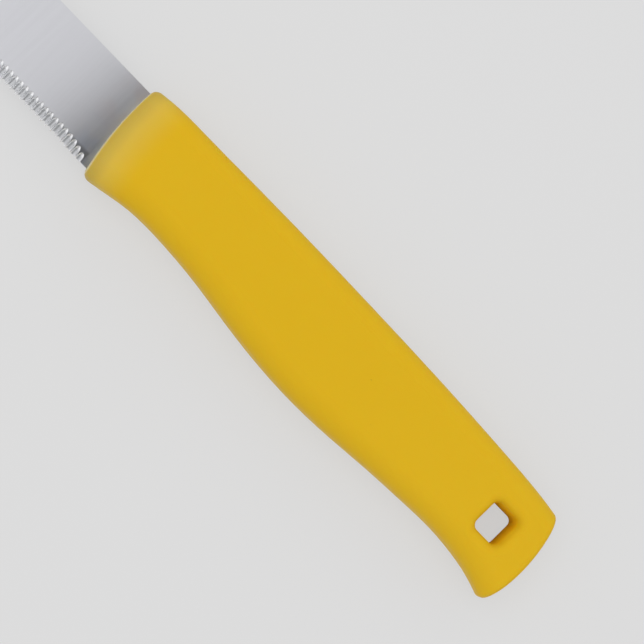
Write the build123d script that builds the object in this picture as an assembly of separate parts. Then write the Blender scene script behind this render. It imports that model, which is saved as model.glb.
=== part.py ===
from build123d import *
import copy
import math
import os

# Drywall saw: a steel blade with a hidden tang, and a plastic handle moulded round the tang.
# It lies on its side. +X runs to the blade's tip, +Y to the toothed edge, +Z up out of the broad side.
# Lengths are in millimetres. Stations along the handle are measured back from its front end,
# heights across the saw are measured from the blade's back edge towards the teeth.

# driving sizes
handle_length = 129.4
handle_thickness = 17.0
butt_thinning = 2.4          # how much thinner the handle is at the butt
front_thinning = 1.8         # how much thinner it is at the front
flat_start = 10.0            # station where the flat of the side begins
flat_tail = 22.4             # distance from the flat's other end to the butt
back_edge_radius = 4.4       # long rounding on the blade's back side
belly_edge_radius = 5.8      # long rounding on the fingers' side
edge_share = 0.9             # most of the half thickness that a long rounding may take
front_rim_radius = 2.0       # rounding of the rim at the front end
butt_rim_radius = 1.4        # rounding of the rim at the butt
front_draw = 2.2             # how steep the side draws in at the front, as a share of its mean slope
butt_draw = 1.8              # the same at the butt

blade_reach = 150.0          # blade outside the handle
blade_width = 21.05
blade_thickness = 1.2
tip_slant = 34.0             # length over which the back edge falls to the toothed edge
tip_edge_width = 1.6         # width of the sharpened flat along the slant
tip_edge_land = 0.3          # steel left at the slant's edge
tip_plain = 6.0              # length of the point that has no teeth

tooth_pitch = 1.54
ground_depth = 3.15          # from the teeth's tips to where the grinding runs out
gullet_rise = 0.48           # fall of the gullet floor per mm across
gullet_sagitta = 0.66        # how far a gullet's floor lies under the ridges beside it
shallow_teeth = 8            # gullets near the handle that run out earlier
shallow_lift = 0.6
shallow_power = 4            # how quickly they reach the full depth
first_gullet = -0.1          # where the gullets begin, ahead of the handle's foremost point

tang_shoulder = 9.0          # full-width steel inside the handle
tang_length = 88.0
tang_width = 14.0
tang_corner = 3.0
tang_hole_radius = 2.75
tang_hole_stations = (24.0, 50.0, 76.0)

hole_to_butt = 11.36         # from the middle of the hanging hole to the butt
hole_off_middle = 0.55       # how far the hole lies to the toothed side of the blade's middle
hole_length = 6.6
hole_width = 7.4
hole_flare = 0.35            # how much wider the hole is at the surface, each side
hole_corner = 1.3
hole_rim_radius = 2.1

# outline of the handle: (station, height outside the blade's back edge) of the back side, and
# (station, height outside the toothed edge) of the finger side, for a handle of outline_length
outline_length = 129.4
back_line = [
    (-6.0, 0.3), (1.5, 1.42), (6.5, 1.95), (14.0, 2.12), (34.6, 2.33), (47.5, 2.37), (73.4, 2.12),
    (95.0, 1.60), (110.1, 0.96), (123.0, 0.05), (127.5, -0.6), (136.0, -3.0),
]
belly_line = [
    (-6.0, 3.3), (3.2, 1.71), (8.6, 0.67), (13.9, -0.31), (19.4, -0.71), (25.9, -0.61), (34.6, -0.02),
    (47.5, 1.6),
    (56.1, 2.5), (68.7, 2.98), (77.7, 2.62), (90.7, 1.45), (101.0, 0.75), (110.1, 0.42), (116.6, 0.89),
    (121.7, 1.75), (126.4, 3.15), (136.0, 7.2),
]
hole_station = handle_length - hole_to_butt
hole_height = blade_width / 2 + hole_off_middle
front_apex_height = 3.4      # where the front end reaches furthest
front_radius = 70.0
butt_apex_height = 15.2
butt_radius = 34.0

over = 8.0                   # how far cutting solids run past what they cut
span_low = -12.0             # heights between which the cutting solids reach across the handle
span_high = blade_width + 13.0


def handle_side(z_reach):
    """The handle's broad-side outline, longer than the handle at both ends, as a solid."""
    stretch = handle_length / outline_length
    back = [(-station * stretch, -height) for station, height in back_line]
    belly = [(-station * stretch, blade_width + height) for station, height in belly_line]
    with BuildPart() as side:
        with BuildSketch(Plane.XY):
            with BuildLine():
                top = Spline(*back)
                low = Spline(*belly)
                Line(top @ 0, low @ 0)
                Line(top @ 1, low @ 1)
            make_face()
        extrude(amount=z_reach, both=True)
    return side.part


def handle_plan(y_low, y_high):
    """The handle seen along its height: flat sides that draw in towards both ends, as a solid."""
    half = handle_thickness / 2
    front_half = half - front_thinning / 2
    butt_half = half - butt_thinning / 2
    flat_end = handle_length - flat_tail
    front_slope = front_draw * (half - front_half) / flat_start
    butt_slope = butt_draw * (half - butt_half) / flat_tail
    front_x, front_z = over, front_half - front_slope * over
    butt_x, butt_z = -handle_length - over, butt_half - butt_slope * over
    with BuildPart() as plan:
        with BuildSketch(Plane.XZ.offset(-y_high)):
            with BuildLine():
                for sign in (1, -1):
                    Spline((-flat_start, sign * half), (0, sign * front_half),
                           tangents=[(1, 0), (1, -sign * front_slope)])
                    Line((0, sign * front_half), (front_x, sign * front_z))
                    Line((-flat_start, sign * half), (-flat_end, sign * half))
                    Spline((-flat_end, sign * half), (-handle_length, sign * butt_half),
                           tangents=[(-1, 0), (-1, -sign * butt_slope)])
                    Line((-handle_length, sign * butt_half), (butt_x, sign * butt_z))
                Line((front_x, front_z), (front_x, -front_z))
                Line((butt_x, butt_z), (butt_x, -butt_z))
            make_face()
        extrude(amount=y_high - y_low)
    return plan.part


def handle_ends(z_reach):
    """A slab whose two short ends carry the curved front and butt of the handle."""
    low, high = span_low, span_high
    front_x = -(high - front_apex_height) ** 2 / (2 * front_radius)
    front_low_x = -(front_apex_height - low) ** 2 / (2 * front_radius)
    butt_high = -handle_length + (high - butt_apex_height) ** 2 / (2 * butt_radius)
    butt_low = -handle_length + (butt_apex_height - low) ** 2 / (2 * butt_radius)
    with BuildPart() as slab:
        with BuildSketch(Plane.XY):
            with BuildLine():
                ThreePointArc((front_low_x, low), (0, front_apex_height), (front_x, high))
                Line((front_x, high), (butt_high, high))
                ThreePointArc((butt_high, high), (-handle_length, butt_apex_height), (butt_low, low))
                Line((butt_low, low), (front_low_x, low))
            make_face()
        extrude(amount=z_reach, both=True)
    return slab.part


def hanging_hole():
    """The four-sided hole, narrowest at mid-thickness and flared to both broad sides."""
    reach = handle_thickness / 2 + over
    flare_angle = math.degrees(math.atan(hole_flare / (handle_thickness / 2)))
    cutters = []
    for direction in (1, -1):
        with BuildPart() as cutter:
            with BuildSketch(Plane.XY):
                with Locations((-hole_station, hole_height)):
                    RectangleRounded(hole_length, hole_width, hole_corner)
            extrude(amount=direction * reach, taper=-flare_angle)
        cutters.append(cutter.part)
    return cutters[0] + cutters[1]


def make_blank():
    """Blade and tang as one flat strip, before the teeth are ground."""
    half = blade_thickness / 2
    tang_low = (blade_width - tang_width) / 2
    tang_high = tang_low + tang_width
    with BuildPart() as strip:
        with BuildSketch(Plane.XY.offset(-half)):
            with BuildLine():
                Polyline(
                    (blade_reach, blade_width), (blade_reach - tip_slant, 0), (-tang_shoulder, 0),
                    (-tang_shoulder - tang_low, tang_low), (-tang_length, tang_low),
                    (-tang_length, tang_high), (-tang_shoulder - tang_low, tang_high),
                    (-tang_shoulder, blade_width), close=True)
            make_face()
            with Locations(*[(-s, blade_width / 2) for s in tang_hole_stations]):
                Circle(tang_hole_radius, mode=Mode.SUBTRACT)
        extrude(amount=blade_thickness)
        ends = strip.edges().filter_by(Axis.Z).group_by(Axis.X)[0]
        fillet(ends, tang_corner)
    return strip.part


def gullet_grinder():
    """The scalloped solid that grinds every gullet in one pass, tilted across the seen face."""
    tilt = math.atan(gullet_rise)
    count = int((blade_reach - tip_plain - first_gullet) // tooth_pitch)
    half = blade_thickness / 2
    origin = Vector(0, blade_width - ground_depth, half)
    # the profile plane: x along the edge, y out of the ground floor
    run = (0, math.cos(tilt), -math.sin(tilt))
    plane = Plane(origin=origin, x_dir=(1, 0, 0), z_dir=tuple(-c for c in run))
    sagitta = gullet_sagitta * math.cos(tilt)

    def lift(i):
        near = max(0.0, 1 - i / shallow_teeth)
        return shallow_lift * near ** shallow_power * math.cos(tilt)

    with BuildPart() as grinder:
        with BuildSketch(plane):
            with BuildLine():
                for i in range(count):
                    left = first_gullet + i * tooth_pitch
                    middle = left + tooth_pitch / 2
                    right = left + tooth_pitch
                    low_left = (lift(i - 0.5) if i else lift(0)) + sagitta
                    low_right = lift(i + 0.5) + sagitta
                    ThreePointArc((left, low_left), (middle, lift(i)), (right, low_right))
                Line((right, low_right), (right, over))
                Line((right, over), (first_gullet, over))
                Line((first_gullet, over), (first_gullet, lift(0) + sagitta))
            make_face()
        extrude(amount=over, both=True)
    return grinder.part


def tip_grinders():
    """Two wedges that sharpen the slanted back edge at the tip, one per broad side."""
    half = blade_thickness / 2
    slope = math.atan2(blade_width, tip_slant)
    length = math.hypot(blade_width, tip_slant)
    wedges = []
    for sign in (1, -1):
        section = [
            (-over, sign * tip_edge_land / 2), (0, sign * tip_edge_land / 2), (tip_edge_width, sign * half),
            (tip_edge_width, sign * over), (-over, sign * over),
        ]
        along = Vector(math.cos(slope), math.sin(slope), 0)
        inward = Vector(-math.sin(slope), math.cos(slope), 0)
        start = Vector(blade_reach - tip_slant, 0, 0) - along * blade_thickness
        plane = Plane(origin=start, x_dir=inward, z_dir=along)
        flip = 1 if plane.y_dir.Z > 0 else -1
        with BuildPart() as wedge:
            with BuildSketch(plane):
                with BuildLine():
                    Polyline(*[(a, flip * b) for a, b in section], close=True)
                make_face()
            extrude(amount=length + over)
        wedges.append(wedge.part)
    return wedges


def make_blade():
    blade = make_blank() - gullet_grinder()
    for wedge in tip_grinders():
        blade = blade - wedge
    return blade


def long_edges(body, belly):
    """The edges where the broad sides meet the finger side (belly) or the back side."""
    found = []
    for edge in body.edges():
        size = edge.bounding_box().size
        place = edge.center()
        along = size.X > 4 * size.Z and abs(place.Z) > handle_thickness / 4
        if along and (place.Y > blade_width / 2) == belly and size.X > size.Y:
            found.append(edge)
    return found


def rim_edges(body, x):
    """The closed rim of edges round the cut end nearest station x."""
    face = body.faces().sort_by(lambda f: abs(f.center().X - x))[0]
    return face.outer_wire().edges()


def make_handle_body():
    body = handle_side(handle_thickness) & handle_plan(span_low, span_high)
    # the long roundings take up at most the half thickness left where the bar is thinnest
    thinnest = body.faces().sort_by(Axis.X)[0].bounding_box().size.Z / 2
    body = fillet(long_edges(body, True), min(belly_edge_radius, edge_share * thinnest))
    body = fillet(long_edges(body, False), min(back_edge_radius, edge_share * thinnest))
    body = body & handle_ends(handle_thickness)
    body = fillet(rim_edges(body, 0), front_rim_radius)
    return fillet(rim_edges(body, -handle_length), butt_rim_radius)


def hole_rims(body):
    """The edges of the hanging hole where it meets the two broad sides."""
    found = []
    for edge in body.edges():
        place = edge.center()
        near = abs(place.X + hole_station) < hole_length and abs(place.Y - hole_height) < hole_width
        if near and abs(place.Z) > handle_thickness / 4:
            found.append(edge)
    return found


def make_handle(blade):
    """The handle is moulded round the tang, so the tang's own shape is what is missing inside it."""
    body = make_handle_body() - hanging_hole()
    body = fillet(hole_rims(body), hole_rim_radius)
    return body - blade


def rest_offset(pieces):
    """The move that puts the middle of the underside at the origin."""
    box = Compound(children=[copy.copy(p) for p in pieces]).bounding_box()
    middle = (box.min + box.max) * 0.5
    return Pos(-middle.X, -middle.Y, -box.min.Z)


blade = make_blade()
handle = make_handle(blade)
settle = rest_offset([blade, handle])

os.makedirs("parts", exist_ok=True)
for name, piece in {"blade": blade, "handle": handle}.items():
    placed = settle * piece
    export_step(placed, f"parts/{name}.step")
    print(name, round(placed.volume, 1), placed.bounding_box())
print("offset", settle.position)
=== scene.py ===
import bpy
from math import atan, cos, radians, sin, sqrt
from mathutils import Matrix, Vector


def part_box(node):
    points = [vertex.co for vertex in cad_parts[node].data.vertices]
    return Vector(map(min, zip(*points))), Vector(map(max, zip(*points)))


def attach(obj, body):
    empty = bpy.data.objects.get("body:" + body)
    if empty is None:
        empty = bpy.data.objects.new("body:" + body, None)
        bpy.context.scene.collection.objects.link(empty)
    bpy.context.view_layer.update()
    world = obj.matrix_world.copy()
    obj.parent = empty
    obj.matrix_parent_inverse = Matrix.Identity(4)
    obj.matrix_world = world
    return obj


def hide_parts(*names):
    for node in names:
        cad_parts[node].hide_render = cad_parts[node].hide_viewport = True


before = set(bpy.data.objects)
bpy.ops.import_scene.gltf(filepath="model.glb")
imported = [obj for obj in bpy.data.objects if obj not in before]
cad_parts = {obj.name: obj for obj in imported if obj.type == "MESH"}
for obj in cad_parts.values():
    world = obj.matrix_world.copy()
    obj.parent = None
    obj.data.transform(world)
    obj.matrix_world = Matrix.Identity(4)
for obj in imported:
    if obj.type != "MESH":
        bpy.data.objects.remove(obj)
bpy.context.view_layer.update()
bpy.ops.object.select_all(action="DESELECT")

handleLow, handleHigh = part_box("handle")
bladeLow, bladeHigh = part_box("blade")
frontX = handleHigh.x  # where the blade leaves the handle
buttX = handleLow.x
backEdgeY = bladeLow.y
toothEdgeY = bladeHigh.y
midY = (bladeLow.y + bladeHigh.y) / 2
midZ = (bladeLow.z + bladeHigh.z) / 2
mm = 0.001


# a shader socket that can be used in sums and products
class Value:
    def __init__(self, tree, socket):
        self.tree = tree
        self.socket = socket

    def node(self, kind, inputs, **settings):
        made = self.tree.nodes.new(kind)
        for name, value in settings.items():
            setattr(made, name, value)
        for key, value in inputs.items():
            if isinstance(value, Value):
                self.tree.links.new(value.socket, made.inputs[key])
            else:
                made.inputs[key].default_value = value
        return Value(self.tree, made.outputs[0])

    def math(self, operation, a, b=0.0):
        return self.node("ShaderNodeMath", {0: a, 1: b}, operation=operation)

    def __add__(self, other):
        return self.math("ADD", self, other)

    def __radd__(self, other):
        return self.math("ADD", other, self)

    def __sub__(self, other):
        return self.math("SUBTRACT", self, other)

    def __rsub__(self, other):
        return self.math("SUBTRACT", other, self)

    def __mul__(self, other):
        return self.math("MULTIPLY", self, other)

    def __rmul__(self, other):
        return self.math("MULTIPLY", other, self)

    def __truediv__(self, other):
        return self.math("DIVIDE", self, other)

    # 0 at low, 1 at high, with soft ends
    def ramp(self, low, high):
        return self.node("ShaderNodeMapRange", {0: self, 1: low, 2: high}, interpolation_type="SMOOTHSTEP")


def newMaterial(name):
    material = bpy.data.materials.new(name)
    material.use_nodes = True
    tree = material.node_tree
    shader = tree.nodes["Principled BSDF"]
    place = tree.nodes.new("ShaderNodeTexCoord")
    return material, shader, Value(tree, place.outputs["Object"])


def noise(place, scale, detail=3.0, roughness=0.5, stretch=(1, 1, 1)):
    spot = place.node("ShaderNodeVectorMath", {0: place, 1: stretch}, operation="MULTIPLY")
    return place.node("ShaderNodeTexNoise", {"Vector": spot, "Scale": scale, "Detail": detail,
                                             "Roughness": roughness})


def mixRgb(amount, colourA, colourB):
    made = amount.tree.nodes.new("ShaderNodeMix")
    made.data_type = "RGBA"
    for socket, value in ((made.inputs[0], amount), (made.inputs[6], colourA), (made.inputs[7], colourB)):
        if isinstance(value, Value):
            amount.tree.links.new(value.socket, socket)
        else:
            socket.default_value = value
    return Value(amount.tree, made.outputs[2])


def setInput(shader, name, value):
    if isinstance(value, Value):
        value.tree.links.new(value.socket, shader.inputs[name])
    else:
        shader.inputs[name].default_value = value


def bump(height, strength, distance, normal=None):
    inputs = {"Height": height, "Strength": strength, "Distance": distance}
    if normal:
        inputs["Normal"] = normal
    return height.node("ShaderNodeBump", inputs)


def axes(place):
    split = place.tree.nodes.new("ShaderNodeSeparateXYZ")
    place.tree.links.new(place.socket, split.inputs[0])
    return [Value(place.tree, split.outputs[i]) for i in range(3)]


# pairs are where a change starts and where it is complete
handleLook = {
    "colour": (0.715, 0.447, 0.016, 1),
    "deep": (0.695, 0.430, 0.013, 1), "flowScale": 34, "flowFrom": 0.35, "flowGain": 1.4,
    # the front end, measured back from its curved edge
    "apexOverBack": 3.4 * mm, "frontCurve": 140 * mm,
    # painted sheen on the shoulder behind the front end, and where it fades
    "paintedSheen": (0.645, 0.475, 0.092, 1), "paintedSheenAmount": 0.75, "shoulder": (1.0 * mm, 10.5 * mm),
    "rimShadeAmount": 0.20, "rimShadeStart": (0.1 * mm, 0.6 * mm), "rimShadeEnd": (1.2 * mm, 4.2 * mm),
    "lipHighlight": (0.720, 0.650, 0.380, 1), "lipHighlightAmount": 0.8, "lipHighlightEnd": (0.10 * mm, 0.24 * mm),
    # the hanging hole: its centre, how far the painted light on its walls reaches, and how far under the
    # top
    "holeGlowColour": (0.98, 0.64, 0.012, 1), "holeAmount": 0.9, "holeFromButt": 11.4 * mm,
    "holeOffMiddle": 0.5 * mm, "holeLength": 5.6 * mm, "holeWidth": 6.0 * mm,
    "holeEnd": (0.8, 1.1), "holeDepth": (3.2 * mm, 1.4 * mm),
    # dark colour, used for real specks of dirt and for the painted shade behind the front edge
    "dirtAndShade": (0.16, 0.11, 0.04, 1), "speckAmount": 0.5, "speckScale": 1500, "speckPatches": 120,
    "roughness": 0.40, "roughSpread": 0.16, "roughScale": 260, "roughFlow": 0.06, "roughHole": 0.45,
    "ior": 1.22, "specular": 0.22,
    "soak": 0.25, "soakColour": (1.0, 0.45, 0.05), "soakDepth": 1.6 * mm,
    "rippleScale": 95, "rippleStrength": 0.25, "rippleHeight": 0.10 * mm,
    "partingWidth": (0.05 * mm, 0.16 * mm), "partingStrength": 0.6, "partingHeight": 0.06 * mm,
    "grainScale": 2600, "grainStrength": 0.22, "grainHeight": 0.03 * mm,
}


def makePlastic():
    look = handleLook
    material, shader, place = newMaterial("handle_plastic")
    x, y, z = axes(place)
    flow = noise(place, look["flowScale"], 4, 0.55, (0.5, 1, 1))
    colour = mixRgb((flow - look["flowFrom"]) * look["flowGain"], look["deep"], look["colour"])
    # behind the front edge come a painted highlight along a thin lip, a band of painted shade, then a
    # painted sheen on the shoulder
    offApex = y - (backEdgeY + look["apexOverBack"])
    behind = frontX - offApex * offApex * (1 / look["frontCurve"]) - x
    shoulder = 1.0 - behind.ramp(*look["shoulder"])
    colour = mixRgb(shoulder * look["paintedSheenAmount"], colour, look["paintedSheen"])
    # painted shade: a darker band behind the front edge, where the surface slopes away from the light
    rimShade = behind.ramp(*look["rimShadeStart"]) * (1.0 - behind.ramp(*look["rimShadeEnd"]))
    colour = mixRgb(rimShade * look["rimShadeAmount"], colour, look["dirtAndShade"])
    # painted highlight: a thin pale line right at the front edge
    lipHighlight = 1.0 - behind.ramp(*look["lipHighlightEnd"])
    colour = mixRgb(lipHighlight * look["lipHighlightAmount"], colour, look["lipHighlight"])
    # painted light: down in the hanging hole the walls are painted a brighter, deeper yellow, standing in
    # for light that comes through the plastic
    alongHole = (x - (buttX + look["holeFromButt"])) / look["holeLength"]
    acrossHole = (y - (midY + look["holeOffMiddle"])) / look["holeWidth"]
    nearHole = 1.0 - (alongHole * alongHole + acrossHole * acrossHole).ramp(*look["holeEnd"])
    low, high = (handleHigh.z - depth for depth in look["holeDepth"])
    inHole = nearHole * (1.0 - z.ramp(low, high))
    colour = mixRgb(inHole * look["holeAmount"], colour, look["holeGlowColour"])
    patches = noise(place, look["speckPatches"], 1).ramp(0.55, 0.7)
    specks = noise(place, look["speckScale"], 1, 0.5).ramp(0.79, 0.83) * patches
    colour = mixRgb(specks * look["speckAmount"], colour, look["dirtAndShade"])
    setInput(shader, "Base Color", colour)
    roughness = look["roughness"] + look["roughSpread"] * noise(place, look["roughScale"], 3)
    setInput(shader, "Roughness", roughness - look["roughFlow"] * flow + look["roughHole"] * inHole)
    setInput(shader, "IOR", look["ior"])
    setInput(shader, "Specular IOR Level", look["specular"])
    # light soaks a little way into the plastic, so hollows glow instead of going grey
    setInput(shader, "Subsurface Weight", look["soak"])
    setInput(shader, "Subsurface Radius", look["soakColour"])
    setInput(shader, "Subsurface Scale", look["soakDepth"])
    ripple = noise(place, look["rippleScale"], 2, 0.4)
    coarse = bump(ripple, look["rippleStrength"], look["rippleHeight"])
    # the mould's parting line, a fine ridge round the middle of the edge
    offParting = place.math("ABSOLUTE", z - midZ)
    parting = 1.0 - offParting.ramp(*look["partingWidth"])
    coarse = bump(parting, look["partingStrength"], look["partingHeight"], coarse)
    grain = noise(place, look["grainScale"], 2, 0.6)
    setInput(shader, "Normal", bump(grain, look["grainStrength"], look["grainHeight"], coarse))
    return material


def dress(node, material):
    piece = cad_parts[node]
    if not piece.material_slots:
        piece.data.materials.append(material)
    for slot in piece.material_slots:
        slot.material = material


dress("handle", makePlastic())
print("handle dressed")

# the blade, modelled again with finer gullets than the CAD mesh has
bladeLook = {
    # the strip: how far it runs into the handle, and its slanted, sharpened point
    "thickness": bladeHigh.z - bladeLow.z, "hidden": 8 * mm, "slant": 34 * mm, "edgeWidth": 1.6 * mm,
    "edgeLand": 0.3 * mm, "plainPoint": 6 * mm,
    # the gullets: spacing, reach from the edge, slope and arc, and the shallow ones by the handle
    "pitch": 1.54 * mm, "ground": 3.15 * mm, "rise": 0.48, "sagitta": 0.66 * mm, "first": -0.1 * mm,
    "shallow": 8, "lift": 0.6 * mm, "power": 4, "facets": 16, "grinderSide": 8 * mm,
    # the steel
    "bright": (0.678, 0.682, 0.716, 1), "grey": (0.556, 0.558, 0.588, 1),
    "blue": (0.50, 0.55, 0.66, 1), "brown": (0.60, 0.55, 0.56, 1), "tint": 0.55, "tintReach": 9 * mm,
    "tintClouds": (0.40, 0.60), "groundSteel": (0.64, 0.65, 0.67, 1),
    "glintColour": (0.97, 0.975, 0.99, 1), "ridge": (0.14, 0.27), "rimDepth": (0.24 * mm, 0.42 * mm),
    "gapShade": (0.30, 0.305, 0.32, 1), "gapShadeAmount": 0.8, "speck": (0.95, 0.95, 0.95, 1), "speckAmount": 0.7,
    "roughness": 0.22, "roughAcross": 0.12, "roughBroad": 0.05, "roughGround": 0.16,
    "scratchStrength": 0.10, "scratchHeight": 0.02 * mm,
}


def makeSteel():
    look = bladeLook
    material, shader, place = newMaterial("blade_steel")
    x, y, z = axes(place)
    across = noise(place, 900, 4, 0.6, (1, 0.035, 1))
    broad = noise(place, 60, 3, 0.5, (1, 0.3, 1))
    colour = mixRgb(across * 0.6 + broad * 0.4, look["grey"], look["bright"])
    # faint blue and brown tints beside the handle, blue towards the toothed side
    beside = 1.0 - (x - frontX).ramp(0, look["tintReach"])
    cloud = noise(place, 150, 2, 0.5).ramp(*look["tintClouds"])
    toothed = y.ramp(midY - 3 * mm, toothEdgeY - 4 * mm)
    colour = mixRgb(beside * toothed * cloud * look["tint"], colour, look["blue"])
    colour = mixRgb(beside * (1.0 - toothed) * cloud * look["tint"], colour, look["brown"])
    # the ground gullets lie below the rolled face
    pointX = bladeHigh.x - look["plainPoint"]
    band = y.ramp(toothEdgeY - 3.4 * mm, toothEdgeY - 3.1 * mm) * x.ramp(frontX - 0.5 * mm, frontX)
    band = band * (1.0 - x.ramp(pointX - 0.4 * mm, pointX - 0.1 * mm))
    depth = bladeHigh.z - z
    ground = band * depth.ramp(0.01 * mm, 0.03 * mm)
    # painted shade: the flat face between the gullet tops is darkened towards the teeth
    gapShade = band * y.ramp(toothEdgeY - 3.1 * mm, toothEdgeY - 2.2 * mm) * (1.0 - ground)
    colour = mixRgb(gapShade * look["gapShadeAmount"], colour, look["gapShade"])
    colour = mixRgb(ground, colour, look["groundSteel"])
    # painted highlight where a gullet runs out into the face, and along the ridges between gullets
    turn = place.math("FRACT", (x - (frontX + look["first"])) / look["pitch"])
    offRidge = 0.5 - place.math("ABSOLUTE", turn - 0.5)
    outer = y.ramp(toothEdgeY - 1.9 * mm, toothEdgeY - 1.3 * mm)
    ridge = (1.0 - offRidge.ramp(*look["ridge"])) * outer
    rimLine = 1.0 - depth.ramp(*look["rimDepth"])
    bright = place.math("MAXIMUM", ridge, rimLine)
    colour = mixRgb(ground * bright, colour, look["glintColour"])
    specks = noise(place, 1100, 1, 0.5, (1, 0.6, 1)).ramp(0.80, 0.84)
    colour = mixRgb(specks * look["speckAmount"], colour, look["speck"])
    setInput(shader, "Base Color", colour)
    setInput(shader, "Metallic", 1.0)
    roughness = look["roughness"] + look["roughAcross"] * across + look["roughBroad"] * broad
    setInput(shader, "Roughness", roughness + look["roughGround"] * ground)
    scratches = noise(place, 2200, 3, 0.6, (1, 0.03, 1))
    setInput(shader, "Normal", bump(scratches, look["scratchStrength"], look["scratchHeight"]))
    return material


# cuts away what lies on the normal's side, in edit mode, and closes the cut
def bisect(point, normal):
    bpy.ops.mesh.select_all(action="SELECT")
    bpy.ops.mesh.bisect(plane_co=point, plane_no=normal, clear_outer=True, use_fill=True)


# the flat blade with its slanted, sharpened point
def makeStrip():
    backX = frontX - bladeLook["hidden"]
    size = Vector((bladeHigh.x - backX, toothEdgeY - backEdgeY, bladeLook["thickness"]))
    middle = Vector(((bladeHigh.x + backX) / 2, midY, midZ))
    bpy.ops.mesh.primitive_cube_add(size=1, location=middle, scale=size)
    strip = bpy.context.active_object
    bpy.ops.object.transform_apply(location=True, rotation=True, scale=True)
    bpy.ops.object.mode_set(mode="EDIT")
    start = Vector((bladeHigh.x - bladeLook["slant"], backEdgeY, midZ))
    along = (Vector((bladeHigh.x, toothEdgeY, midZ)) - start).normalized()
    outward = Vector((along.y, -along.x, 0))
    bisect(start, outward)
    drop = (bladeLook["thickness"] - bladeLook["edgeLand"]) / 2
    for side in (1, -1):
        edge = start + Vector((0, 0, side * bladeLook["edgeLand"] / 2))
        normal = (outward * drop + Vector((0, 0, side)) * bladeLook["edgeWidth"]).normalized()
        bisect(edge, normal)
    bpy.ops.object.mode_set(mode="OBJECT")
    return strip


# how high the grinder's lower face lies over the deepest floor, at a distance along the edge
def gulletHeight(along):
    pitch, sagitta = bladeLook["pitch"], bladeLook["sagitta"]
    number = int(along // pitch)
    radius = ((pitch / 2) ** 2 + sagitta ** 2) / (2 * sagitta)
    across = along - (number + 0.5) * pitch
    near = max(0.0, 1 - (along / pitch - 0.5) / bladeLook["shallow"])
    lift = bladeLook["lift"] * min(near, 1.0) ** bladeLook["power"]
    return radius - sqrt(max(radius ** 2 - across ** 2, 0)) + lift


# a bar whose scalloped underside cuts every gullet at once
def makeGrinder():
    room = bladeHigh.x - bladeLook["plainPoint"] - frontX - bladeLook["first"]
    count = int(room // bladeLook["pitch"])
    length = count * bladeLook["pitch"]
    side = bladeLook["grinderSide"]
    bpy.ops.mesh.primitive_grid_add(x_subdivisions=count * bladeLook["facets"], y_subdivisions=1, size=1)
    grinder = bpy.context.active_object
    grinder.scale = (length, 2 * side, 1)
    bpy.ops.object.transform_apply(location=False, rotation=False, scale=True)
    bpy.ops.object.mode_set(mode="EDIT")
    bpy.ops.mesh.select_all(action="SELECT")
    bpy.ops.mesh.extrude_region_move(TRANSFORM_OT_translate={"value": (0, 0, side)})
    bpy.ops.mesh.select_all(action="SELECT")
    bpy.ops.mesh.normals_make_consistent(inside=False)
    bpy.ops.object.mode_set(mode="OBJECT")
    for vertex in grinder.data.vertices:
        if vertex.co.z < side / 2:
            along = min(max(vertex.co.x + length / 2, 0), length - 1e-9)
            vertex.co.z = gulletHeight(along)
    grinder.rotation_euler.x = -atan(bladeLook["rise"])
    grinder.location = (frontX + bladeLook["first"] + length / 2, toothEdgeY - bladeLook["ground"],
                        bladeHigh.z)
    return grinder


def makeBlade():
    strip = makeStrip()
    grinder = makeGrinder()
    grind = strip.modifiers.new("grind", "BOOLEAN")
    grind.operation = "DIFFERENCE"
    grind.solver = "EXACT"
    grind.object = grinder
    bpy.context.view_layer.objects.active = strip
    bpy.ops.object.modifier_apply(modifier=grind.name)
    bpy.data.objects.remove(grinder)
    strip.name = "blade_ground"
    strip.select_set(True)
    bpy.ops.object.shade_smooth_by_angle(angle=radians(20))
    strip.data.materials.clear()
    strip.data.materials.append(makeSteel())
    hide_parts("blade")
    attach(strip, "root")
    print("blade ground, faces:", len(strip.data.polygons))


makeBlade()

# the floor that the saw lies on: it lights the saw as plain pale paper does, and only looks paler,
# with a fainter shadow
floorLook = {
    "size": 6.0, "plain": (0.70, 0.70, 0.70, 1), "seen": (0.17, 0.17, 0.172, 1), "glow": 0.545,
    "white": (1, 1, 1, 1), "black": (0, 0, 0, 1), "roughness": 0.9, "specular": 0.0,
}


def makeFloor():
    bpy.ops.mesh.primitive_plane_add(size=floorLook["size"], location=(0, 0, 0))
    floor = bpy.context.active_object
    floor.name = "floor"
    material, shader, place = newMaterial("floor_paper")
    rays = place.tree.nodes.new("ShaderNodeLightPath")
    camera, glossy, through = (Value(place.tree, rays.outputs[name]) for name in (
        "Is Camera Ray", "Is Glossy Ray", "Is Transmission Ray"))
    seen = place.math("MAXIMUM", camera, place.math("MAXIMUM", glossy, through))
    setInput(shader, "Base Color", mixRgb(seen, floorLook["plain"], floorLook["seen"]))
    setInput(shader, "Emission Color", mixRgb(seen, floorLook["black"], floorLook["white"]))
    setInput(shader, "Emission Strength", floorLook["glow"])
    setInput(shader, "Roughness", floorLook["roughness"])
    setInput(shader, "Specular IOR Level", floorLook["specular"])
    floor.data.materials.append(material)


makeFloor()
print("floor laid")

# an even pale room, one broad soft light overhead, one weaker from the back-edge side
lightLook = {
    "room": 0.74, "mirrored": 1.0,
    "top_light": {"spot": (0.10, 0.05, 1.25), "size": 0.9, "power": 4.6},
    "side_light": {"spot": (0.10, -0.95, 0.75), "size": 0.6, "power": 1.0},
}


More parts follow.
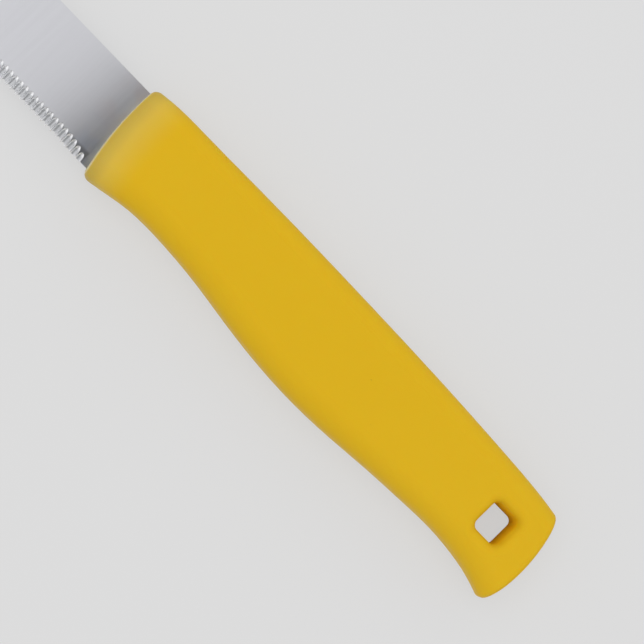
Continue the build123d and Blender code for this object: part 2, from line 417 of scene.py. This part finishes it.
def makeLights():
    world = bpy.data.worlds.new("room")
    world.use_nodes = True
    bpy.context.scene.world = world
    backdrop = world.node_tree.nodes["Background"]
    backdrop.inputs["Color"].default_value = (1, 1, 1, 1)
    # steel mirrors a brighter room than the one that lights the plastic
    rays = world.node_tree.nodes.new("ShaderNodeLightPath")
    glossy = Value(world.node_tree, rays.outputs["Is Glossy Ray"])
    strength = lightLook["room"] + (lightLook["mirrored"] - lightLook["room"]) * glossy
    world.node_tree.links.new(strength.socket, backdrop.inputs["Strength"])
    for name in ("top_light", "side_light"):
        spot = Vector(lightLook[name]["spot"])
        bpy.ops.object.light_add(type="AREA", location=spot)
        light = bpy.context.active_object
        light.name = name
        light.data.size = lightLook[name]["size"]
        light.data.energy = lightLook[name]["power"]
        light.visible_glossy = False
        light.rotation_euler = (-spot).to_track_quat("-Z", "Y").to_euler()


# the dark shape that the blade mirrors beside the handle, seen only by reflections
cardLook = {
    "length": 120 * mm, "width": 200 * mm, "above": 60 * mm, "pastHandle": 5.0 * mm, "turn": radians(-9),
    "colour": (0.02, 0.02, 0.022, 1), "roughness": 1.0,
}


def makeCard():
    middleX = frontX + cardLook["pastHandle"] - cardLook["length"] / 2
    bpy.ops.mesh.primitive_plane_add(size=1, location=(middleX, midY, midZ + cardLook["above"]))
    card = bpy.context.active_object
    card.name = "mirror_card"
    card.scale = (cardLook["length"], cardLook["width"], 1)
    card.rotation_euler.z = cardLook["turn"]
    material, shader = newMaterial("mirror_card_black")[:2]
    setInput(shader, "Base Color", cardLook["colour"])
    setInput(shader, "Roughness", cardLook["roughness"])
    card.data.materials.append(material)
    card.visible_camera = False
    card.visible_diffuse = False
    card.visible_shadow = False


makeLights()
makeCard()
print("lights set")

# the camera stands above the toothed side of the handle's front end and looks down at the handle
cameraLook = {
    "lens": 224.27, "sensor": 36, "aside": 86.4 * mm, "above": 860 * mm, "turn": radians(-44.13),
    "aimBehind": 61.07 * mm, "aimAside": 7.41 * mm,
}


def makeCamera():
    spot = Vector((frontX, backEdgeY + cameraLook["aside"], midZ + cameraLook["above"]))
    aim = Vector((frontX - cameraLook["aimBehind"], backEdgeY + cameraLook["aimAside"], midZ))
    ahead = (aim - spot).normalized()
    upward = Vector((cos(cameraLook["turn"]), sin(cameraLook["turn"]), 0))
    right = ahead.cross(upward).normalized()
    top = right.cross(ahead)
    bpy.ops.object.camera_add(location=spot)
    camera = bpy.context.active_object
    camera.data.lens = cameraLook["lens"]
    camera.data.sensor_width = cameraLook["sensor"]
    camera.rotation_euler = Matrix((right, top, -ahead)).transposed().to_euler()
    bpy.context.scene.camera = camera


makeCamera()
bpy.context.scene.view_settings.view_transform = "Standard"
print("camera set")
